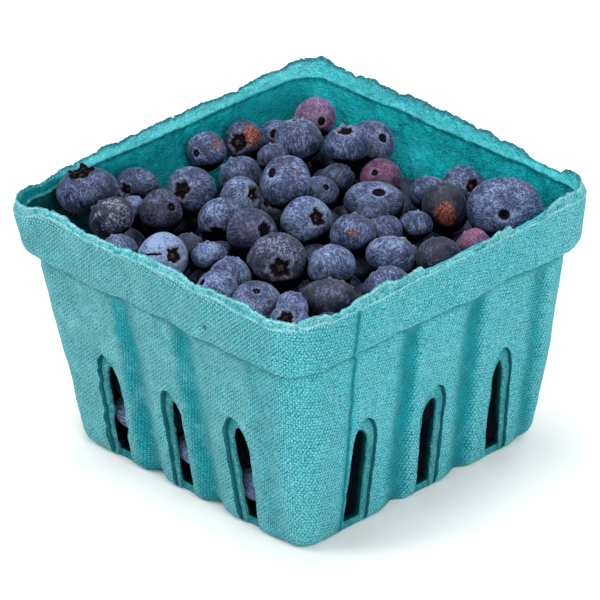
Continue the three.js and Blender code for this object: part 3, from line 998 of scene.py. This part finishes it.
def wallRoom(x, y, z):  # how far a point is inside the pulp
    halves, heights = np.array(inside)[-2::-1, :2].T
    half, corner = np.interp(z, heights, halves), heap["corner"]
    overX, overY = np.abs(x) - (half - corner), np.abs(y) - (half - corner)
    outsideCorner = np.hypot(np.maximum(overX, 0), np.maximum(overY, 0))
    return corner - outsideCorner - np.minimum(np.maximum(overX, overY), 0)


def heightRange(one):  # heights at which the berry clears the walls
    heights = np.arange(*heap["heightsTried"])
    room = wallRoom(*np.array([pixelAtHeight(one["pixel"], height) for height in heights]).T)
    clear = heights[room >= one["radius"] * heap["wallSqueeze"] + heap["wallGap"]]
    return (clear[0], clear[-1]) if len(clear) else (heights[np.argmax(room)],) * 2


def placeTopBerries():  # each slides along its own line of sight until it is clear
    lowest, highest = np.array([heightRange(one) for one in topBerries]).T
    heights = np.clip([heap["level"] + one["lift"] for one in topBerries], lowest, highest)
    radii = np.array([one["radius"] for one in topBerries])
    for _ in range(heap["sliding"]):
        spots = topSpots(heights)
        shift = np.zeros(len(heights))
        for first in range(len(heights)):
            apart = np.linalg.norm(spots - spots[first], axis=1)
            needed = (radii + radii[first]) * heap["closeness"]
            for second in np.nonzero((apart < needed) & (apart > 0))[0]:
                nearer = topBerries[first]["pixel"][1] > topBerries[second]["pixel"][1]
                push = (needed[second] - apart[second]) * heap["slide"]
                shift[first] += push if nearer else -push
        heights = np.clip(heights + shift, lowest, highest)
    return topSpots(heights), radii


def hiddenByWall(spots, radii):  # whether the near rim hides a berry from the camera
    tops = spots + np.array(viewAxes()[1]) * radii[:, None] * 0.8
    way = np.array(eyePoint()) - tops
    rim = punnet["rimHalf"] - 1.5
    hidden = np.zeros(len(spots), bool)
    for axis, sign in ((0, 1), (1, -1)):
        share = (sign * rim - tops[:, axis]) / way[:, axis]
        crossing = tops + way * share[:, None]
        beside = np.abs(crossing[:, 1 - axis]) < rim
        hidden |= (share > 0) & (crossing[:, 2] < punnet["rimHeight"] - 0.5) & beside
    return hidden


def pushFrom(found, sizes, others, radii, itself=0.0):  # how far the others push each berry away
    gaps = found[:, None] - others[None]
    apart = np.linalg.norm(gaps, axis=2) + itself
    short = np.maximum((sizes[:, None] + radii[None]) * heap["closeness"] - apart, 0)
    return (gaps / apart[..., None] * short[..., None]).sum(1)


def inCore(found):
    half = punnet["footHalf"] - heap["coreGap"] - 2
    return (np.abs(found[:, :2]).max(1) < half) & (found[:, 2] < heap["coreTop"] - 3)


def fillerBerries(spots, radii):  # the rest of the heap, settled round the ones on top
    rng = np.random.default_rng(7)
    found, sizes = [], []
    pitch, stray = heap["pitch"], heap["stray"]
    for number, height in enumerate((*heap["layers"], heap["edgeLevel"])):
        for row in range(-4, 5):
            for column in range(-4, 5):
                x = (column + 0.5 * ((row + number) % 2)) * pitch + rng.uniform(-stray, stray)
                y = row * pitch * heap["rowPitch"] + rng.uniform(-stray, stray)
                sizes.append(rng.uniform(*heap["radii"]))
                found.append((x, y, height + rng.uniform(-stray, stray)))
    found, sizes = np.array(found), np.array(sizes)
    inPulp = wallRoom(*found.T) > sizes * 0.35
    found, sizes = found[inPulp], sizes[inPulp]
    top = found[:, 2] > heap["ceiling"]
    unseen = ~top | hiddenByWall(found, sizes)
    found, sizes, top = found[unseen], sizes[unseen], top[unseen]
    for _ in range(heap["settling"]):
        push = pushFrom(found, sizes, found, sizes, np.eye(len(found)) * 99) * 0.35
        push += pushFrom(found, sizes, spots, radii) * 0.8
        push[:, 2] -= heap["sinking"]
        found = found + push
        found[:, 2] = np.maximum(found[:, 2], punnet["floorTop"] + sizes * 0.95)
        found[~top, 2] = np.minimum(found[~top, 2], heap["ceiling"])
        for axis in (0, 1) * 3:
            step = np.eye(3)[axis] * 0.5
            tight = np.maximum(sizes + heap["wallGap"] - wallRoom(*found.T), 0)
            outward = np.sign(wallRoom(*(found - step).T) - wallRoom(*(found + step).T))
            found[:, axis] -= outward * tight * 0.5
    apart = np.linalg.norm(found[:, None] - spots[None], axis=2)
    clash = (apart < (sizes[:, None] + radii[None]) * 0.80).any(1)
    buried = found[:, 2] <= heap["ceiling"] + 0.01
    left = ~clash & ~inCore(found) & (buried | hiddenByWall(found, sizes))
    return found[left], sizes[left]


def wayTo(one, mark):  # direction from a berry's middle to an image point
    right, up, back = viewAxes()
    wide, tall = one.get("wide", (1.0, 1.0))
    reach = one["radius"] * view["lens"] / view["sensor"] * view["imageSide"] / view["distance"]
    across = (mark[0] - one["pixel"][0]) / reach / wide
    down = (mark[1] - one["pixel"][1]) / reach / tall
    length = max(math.hypot(across, down) / 0.97, 1.0)
    across, down = across / length, down / length
    return right * across - up * down + back * math.sqrt(1 - across ** 2 - down ** 2)


def poleOf(one, rng):  # where the calyx end points
    right, up, back = viewAxes()
    if one["calyx"]:
        return wayTo(one, one["calyx"])
    if one["scar"]:
        return -wayTo(one, one["scar"])
    side = rng.uniform(-shape["fromAbove"], shape["fromAbove"])
    lean = rng.uniform(*shape["leanBack"])
    return (up * math.cos(side) + right * math.sin(side) - back * lean).normalized()


def ballRays(polar, columns):  # directions round the upright, for rows from the top pole to the bottom one
    around = np.linspace(0, math.tau, columns, endpoint=False)[None, :]
    upward = np.broadcast_to(np.cos(polar), (len(polar), columns))
    return around, np.dstack([np.sin(polar) * np.cos(around), np.sin(polar) * np.sin(around), upward])


def ballVertices(grid):  # the rows in one list, each pole once
    return np.concatenate([grid[0, :1], grid[1:-1].reshape(-1, *grid.shape[2:]), grid[-1, :1]])


def ballFaces(rows, columns, start=0):
    faces = []
    end = start + 1 + (rows - 2) * columns
    for column in range(columns):
        beside = (column + 1) % columns
        faces.append((start, start + 1 + column, start + 1 + beside))
        for here in range(start + 1, end - columns, columns):
            faces.append((here + column, here + columns + column, here + columns + beside, here + beside))
        faces.append((end - columns + column, end, end - columns + beside))
    return faces


def bell(value, middle, width):
    return np.exp(-((value - middle) / width) ** 2)


shape = {  # in shares of the radius or in radians, each pair the least and the most of a random draw
    "calyxEdge": (0.34, 0.42),
    "calyxDepth": (0.22, 0.30),
    "lobeRise": (0.06, 0.10),
    "scarEdge": (0.17, 0.23),
    "scarDepth": 0.10,
    "flatness": (0.84, 0.93),
    "heart": (0.3, 1.0),  # how pale the middle of the calyx or of the stem scar is
    "fromAbove": 0.9,  # how far a pole that isn't given turns off the upright
    "leanBack": (0.25, 0.45),
    "shadeReach": 34,  # millimetres over which berries shade each other
    "shadeShare": 0.68,
    "shadeBelow": 0.35,
}


def berryShape(radius, rows, columns, looks, rng):  # a body with its calyx at +Z, and its marks
    share = np.linspace(0, 1, rows + 1)[:, None]
    polar = math.pi * (share - 0.1 * np.sin(math.tau * share))  # rows closer together at the poles
    around, ray = ballRays(polar, columns)
    phase, seed = rng.uniform(0, math.tau), rng.uniform(0, 90)
    uneven = lumps(ray, 0.9, seed) * 0.07 + lumps(ray, 0.35, seed + 1) * 0.015
    lobes = np.cos(5 * around + phase)
    jag = lumps(ray, 0.14, seed + 2)
    edge = rng.uniform(*shape["calyxEdge"]) * looks.get("crown", 1.0) * (1 + 0.10 * lobes + 0.30 * jag)
    pit = softStep(polar, edge + 0.02, edge - 0.05)
    knob = softStep(polar, 0.15, 0.0) * 0.35
    depth = rng.uniform(*shape["calyxDepth"])
    lobeRise = rng.uniform(*shape["lobeRise"]) * looks.get("lobes", 1.0)
    lobeRise = lobeRise * np.maximum(0.55 + 0.5 * lobes + 1.1 * jag, 0)
    crown = bell(polar - edge, 0.03, 0.06) * softStep(polar, edge - 0.05, edge + 0.02)
    furrow = bell(polar - edge, 0, 0.25) * (polar > edge) * (0.5 - 0.5 * lobes) * 0.02
    tail = math.pi - polar
    scarEdge = rng.uniform(*shape["scarEdge"]) * looks.get("stalk", 1.0)
    scarEdge = scarEdge * (1 + 0.2 * lumps(ray, 0.3, seed + 3))
    scar = softStep(tail, scarEdge + 0.03, scarEdge - 0.04)
    ring = bell(tail - scarEdge, 0.05, 0.06)
    offLine = np.abs((around + math.pi) % math.tau - math.pi) * np.sin(polar)
    split = bell(offLine, 0, 0.05) * softStep(polar, 0.45, 0.6) * softStep(polar, 1.5, 1.3)
    split = split * looks.get("split", 0.0)
    reach = 1 + uneven - pit * depth * (1 - knob) + crown * lobeRise - furrow
    reach = reach - scar * shape["scarDepth"] + ring * 0.012 - split * 0.05
    points = ray * reach[..., None] * radius
    points[..., 2] *= rng.uniform(*shape["flatness"])
    heart = softStep(polar, edge * 0.62, edge * 0.3) * rng.uniform(*shape["heart"])
    heart += softStep(tail, scarEdge * 0.7, scarEdge * 0.35) * rng.uniform(*shape["heart"]) * 0.5
    return points, {"pit": np.maximum(pit, split), "crown": crown, "scar": scar, "rim": ring, "heart": heart}


def berryShade(points, middle, others, sizes):  # darker where the berries round it shut out the light
    facing = (points - middle) / np.linalg.norm(points - middle, axis=1, keepdims=True)
    close = np.linalg.norm(others - middle, axis=1)
    near = (close > 0.01) & (close < shape["shadeReach"])
    below = np.maximum(-facing[:, 2], 0) * shape["shadeBelow"]
    shut = shadeAt(points, facing, others[near], sizes[near])
    return np.clip(shut * shape["shadeShare"] + below, 0, 1)


def addToHeap(name, vertices, faces, finish):
    mesh = makeMesh(name, vertices, faces)
    mesh.materials.append(finish)
    piece = addObject(name, mesh)
    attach(piece, "root")
    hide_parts("berries")
    return mesh


def makeBerries(name, members, fineness, finish, everyone):  # one joined mesh of every berry of a kind
    vertices, faces, own = [], [], []
    looksKeys = ("bloom", "blush", "rust", "silver", "char")
    marks = {key: [] for key in ("pit", "crown", "scar", "rim", "heart", "shade", "scab", *looksKeys)}
    for spot, radius, pole, looks, seed in members:
        rng = np.random.default_rng(seed)
        points, masks = berryShape(radius, *fineness, looks, rng)
        upright = pole.to_track_quat("Z", "Y").to_matrix()
        angle = rng.uniform(0, math.tau)
        if looks.get("split"):  # its crack runs off to the left
            left = upright.transposed() @ -viewAxes()[0]
            angle = math.atan2(left.y, left.x)
        spin = upright @ Matrix.Rotation(angle, 3, "Z")
        body = ballVertices(points)
        turned = body @ np.array(spin).T
        scab = np.zeros(len(body))
        if looks.get("scab"):  # a rough healed patch away from the ends
            mark, reach, strength = looks["scab"]
            off = np.linalg.norm(turned - np.array(wayTo(looks, mark)) * radius, axis=1)
            scab = softStep(off + lumps(body, 1.0, 31) * 1.2, reach + 0.3, reach - 0.5) * strength
        for axis, size in zip(viewAxes(), looks.get("wide", ())):
            turned += np.outer(turned @ axis, axis) * (size - 1)
        faces += ballFaces(*points.shape[:2], len(body) * len(vertices))
        vertices.append(turned + spot)
        own.append(body + rng.uniform(-400, 400, 3))
        marks["scab"].append(scab)
        # painted shade from the neighbours and the underside, or the dim of a buried one
        marks["shade"].append(np.maximum(berryShade(vertices[-1], spot, *everyone), looks.get("dim", 0.0)))
        for key, mask in masks.items():
            marks[key].append(ballVertices(mask))
        for key in looksKeys:
            marks[key].append(np.full(len(body), looks.get(key, 0.0)))
    mesh = addToHeap(name, np.vstack(vertices), faces, finish)
    mesh.polygons.foreach_set("use_smooth", [True] * len(faces))
    for key, values in marks.items():
        layValues(mesh, key, "FLOAT", "POINT", np.concatenate(values))
    layValues(mesh, "own", "FLOAT_VECTOR", "POINT", np.vstack(own))
    print(name, len(members), "berries,", len(faces), "faces")


skins = {
    "dusty": [(0.0, (0.003, 0.005, 0.020, 1)), (0.3, (0.013, 0.022, 0.062, 1)),
              (0.6, (0.050, 0.078, 0.172, 1)), (1.0, (0.205, 0.280, 0.475, 1))],
    "dark": [(0.0, (0.004, 0.005, 0.014, 1)), (0.3, (0.014, 0.016, 0.038, 1)),
             (0.6, (0.044, 0.052, 0.118, 1)), (1.0, (0.187, 0.220, 0.400, 1))],
    "blushed": [(0.0, (0.032, 0.006, 0.026, 1)), (0.3, (0.070, 0.022, 0.070, 1)),
                (0.6, (0.135, 0.072, 0.175, 1)), (1.0, (0.290, 0.240, 0.430, 1))],
    "blush": (0.170, 0.018, 0.050, 1),
    "silver": (0.330, 0.360, 0.480, 1),
    # painted shade, for the gaps between the berries
    "gapShade": (0.001, 0.002, 0.006, 1),
    "pitDark": (0.002, 0.002, 0.003, 1),
    "pitBrown": (0.016, 0.010, 0.012, 1),
    "heart": (0.085, 0.055, 0.050, 1),
    "crownTip": (0.230, 0.245, 0.320, 1),
    "charRed": (0.110, 0.010, 0.010, 1),
    "scab": (0.210, 0.034, 0.020, 1),
    "scabDark": (0.035, 0.006, 0.005, 1),
    "scabCrumb": (0.480, 0.200, 0.090, 1),
    # the heap's core, near black as painted shade
    "core": ((0.004, 0.004, 0.008, 1), (0.016, 0.016, 0.030, 1)),
    "patch": (4.8, 3.0, 0.6, 0.3),  # size in millimetres, detail, roughness and distortion of the noise
    "cloud": (1.6, 3.0, 0.6, 0.2),
    "dust": (0.30, 1.0),
    "fine": (0.55, 2.0, 0.6),
    "crumbs": (0.6, 3.0, 0.7),
    "streaks": (0.50, 2.0, 0.5),
}


def makeBerryFinish(kind):
    finish = Finish("berry_" + kind)
    own = finish.painted("own", "Vector")
    tall = finish.node("ShaderNodeMapping", {}, {"Vector": own, "Scale": (1.0, 1.0, 0.18)})
    patch, cloud, dust, fine, crumbs = (finish.patches(own, *skins[name]) for name in
                                        ("patch", "cloud", "dust", "fine", "crumbs"))
    streaks = finish.patches(tall, *skins["streaks"])
    cover = finish.painted("bloom") + (patch - 0.5) * 0.32 + (cloud - 0.5) * 0.16
    cover = cover + (dust - 0.5) * 0.24 + (fine - 0.5) * 0.22 + (streaks - 0.5) * 0.34
    cover = cover + finish.painted("rim") * 0.20
    tone = finish.node("ShaderNodeValToRGB", {"stops": skins[kind]}, {"Fac": cover})
    flecks = finish.ease(streaks + dust, 0.9, 1.6) * finish.ease(patch, 0.35, 0.75)
    blush = finish.painted("blush") * finish.ease(cloud + patch, 0.55, 1.35)
    crown, shade = finish.painted("crown"), finish.painted("shade")
    tone = finish.coats(tone, skins, (flecks * (finish.painted("silver") * 0.6 + 0.06), "silver"),
                        (blush * 0.85, "blush"), (crown * (0.25 + crumbs * 0.55), "crownTip"))
    scab = finish.painted("scab") * finish.ease(crumbs + cloud, 0.25, 0.6)
    scab = finish.least(scab + finish.painted("rust") * crown * finish.ease(cloud, 0.2, 0.6), 1.0)
    rough = finish.blend(finish.ease(crumbs, 0.2, 0.75), skins["scabDark"], skins["scab"])
    rough = finish.coats(rough, skins, (finish.ease(fine + dust, 1.40, 1.85), "scabCrumb"))
    # painted shade where the neighbours and the underside shut out the light
    tone = finish.coats(finish.blend(scab, tone, rough), skins, (shade * 0.74, "gapShade"))
    height = dust * 0.4 + cloud * 0.6
    finish.surface(Base_Color=tone, Roughness=0.42 + cover * 0.26, Normal=finish.bump(height, 0.10))
    finish.shader.inputs["Specular IOR Level"].default_value = 0.30
    finish.shader.inputs["Sheen Weight"].default_value = 0.12
    finish.shader.inputs["Sheen Roughness"].default_value = 0.35
    finish.shader.inputs["Sheen Tint"].default_value = (0.62, 0.76, 1.0, 1)
    makeHollows(finish, crown, crumbs, shade)
    return finish.material


def makeHollows(finish, crown, crumbs, shade):  # dull and near black in the calyx and the stem scar, and dull with painted shade where the berries shade each other
    pit = finish.ease(finish.painted("pit") + (crumbs - 0.5) * 0.45, 0.42, 0.60)
    scar = finish.ease(finish.painted("scar") + (crumbs - 0.5) * 0.25, 0.40, 0.62)
    charred, shut = finish.painted("char"), finish.ease(shade, 0.74, 1.0)
    tone = finish.blend(crumbs * 0.8, skins["pitDark"], skins["pitBrown"])
    heart = finish.ease(crumbs * finish.painted("heart"), 0.22, 0.60)
    tone = finish.coats(tone, skins, (heart * 0.85, "heart"),
                        (charred * finish.ease(crumbs, 0.98, 1.10), "charRed"), (shut, "gapShade"))
    hollow = finish.most(finish.most(pit, scar), charred * finish.ease(crown, 0.1, 0.5))
    dull = finish.tree.nodes.new("ShaderNodeBsdfPrincipled")
    finish.feed(dull.inputs["Base Color"], tone)
    dull.inputs["Roughness"].default_value = 0.95
    dull.inputs["Specular IOR Level"].default_value = 0.0
    shiny, dull = (Wire(finish, shader.outputs[0]) for shader in (finish.shader, dull))
    joined = finish.node("ShaderNodeMixShader", {}, {0: finish.most(hollow, shut), 1: shiny, 2: dull})
    finish.feed(finish.tree.nodes["Material Output"].inputs["Surface"], joined)


def makeCore():  # the middle of the heap, under the loose berries, near black as painted shade
    finish = Finish("berry_core")
    tone = finish.blend(finish.grain(finish.place(), 4.0), *skins["core"])
    finish.surface(Base_Color=tone, Roughness=0.8)
    bottom, top = punnet["floorTop"] + 6, heap["coreTop"]
    half = punnet["footHalf"] - heap["coreGap"]
    rows, columns = heap["core"]
    ray = ballRays(np.linspace(0, math.pi, rows)[:, None], columns)[1]
    boxed = ray / (np.abs(ray) ** 6).sum(2, keepdims=True) ** (1 / 6)  # a ball with flattened sides
    points = boxed * (half, half, (top - bottom) / 2) * (1 + lumps(ray, 0.5, 60)[..., None] * 0.10)
    points = points + (0, 0, (top + bottom) / 2)
    addToHeap("heap_core", ballVertices(points), ballFaces(rows, columns), finish.material)


def pixelAtDepth(pixel, y):
    eye, way = pixelRay(pixel)
    return eye + way * ((y - eye.y) / way.y)


def arrangeHeap():  # the middles and radii: top, behind the slots, the rest
    spots, radii = placeTopBerries()
    behind = [pixelAtDepth(pixel, y) for pixel, radius, y in slotBerries]
    spots, radii = np.vstack([spots, behind]), np.append(radii, [radius for pixel, radius, y in slotBerries])
    found, sizes = fillerBerries(spots, radii)
    return np.vstack([spots, found]), np.append(radii, sizes)


def makeHeap(spots, radii):
    rng = np.random.default_rng(3)
    kinds = {"dusty": [], "dark": [], "blushed": []}
    for number, (one, spot, radius) in enumerate(zip(topBerries, spots, radii)):
        kinds[one["kind"]].append((spot, radius, poleOf(one, rng), one, number))
    finishes = {kind: makeBerryFinish(kind) for kind in kinds}
    everyone = (spots, radii)
    for kind, members in kinds.items():
        makeBerries("berries_" + kind, members, heap["fine"], finishes[kind], everyone)
    buried = []
    for number in range(len(topBerries), len(spots)):
        pole = Vector(rng.normal(size=3)).normalized()
        deep = spots[number][2] <= heap["deepUnder"]
        # buried ones: less bloom and painted shade, near full under deepUnder
        looks = {"bloom": rng.uniform(0.10, 0.45), "dim": 0.96 if deep else 0.5}
        if number < len(topBerries) + len(slotBerries):
            looks = {"bloom": 0.85}
        buried.append((spots[number], radii[number], pole, looks, 100 + number))
    makeBerries("berries_buried", buried, heap["plain"], finishes["dusty"], everyone)
    makeCore()


makeCamera()
makeStudio()
makePunnet()
makeHeap(*arrangeHeap())
